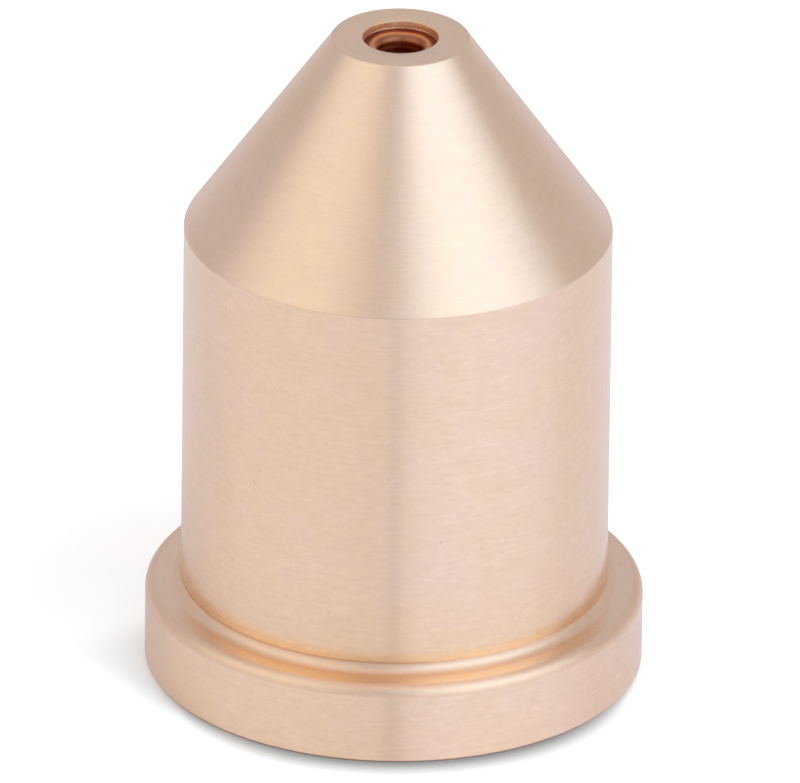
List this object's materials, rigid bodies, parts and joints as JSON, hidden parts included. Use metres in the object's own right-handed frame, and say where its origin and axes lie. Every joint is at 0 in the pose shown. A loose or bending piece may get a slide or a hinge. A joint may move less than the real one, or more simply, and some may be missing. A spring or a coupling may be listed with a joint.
{
  "type": "plasma torch nozzle",
  "caption": "Turned copper nozzle with a flanged base, a straight barrel and a conical nose, bored inside for an electrode and opening at the tip in a small arc orifice.",
  "frame": {"origin": "centre of the flat base face, on the axis", "axes": "+Z along the axis from the base towards the tip; X and Y are alike, because the part is round"},
  "size_m": [0.0175, 0.0174, 0.0238],
  "materials": {
    "copper": "bare copper, fine turned, satin"
  },
  "bodies": {
    "root": {"nozzle": "copper"}
  },
  "joints": []
}
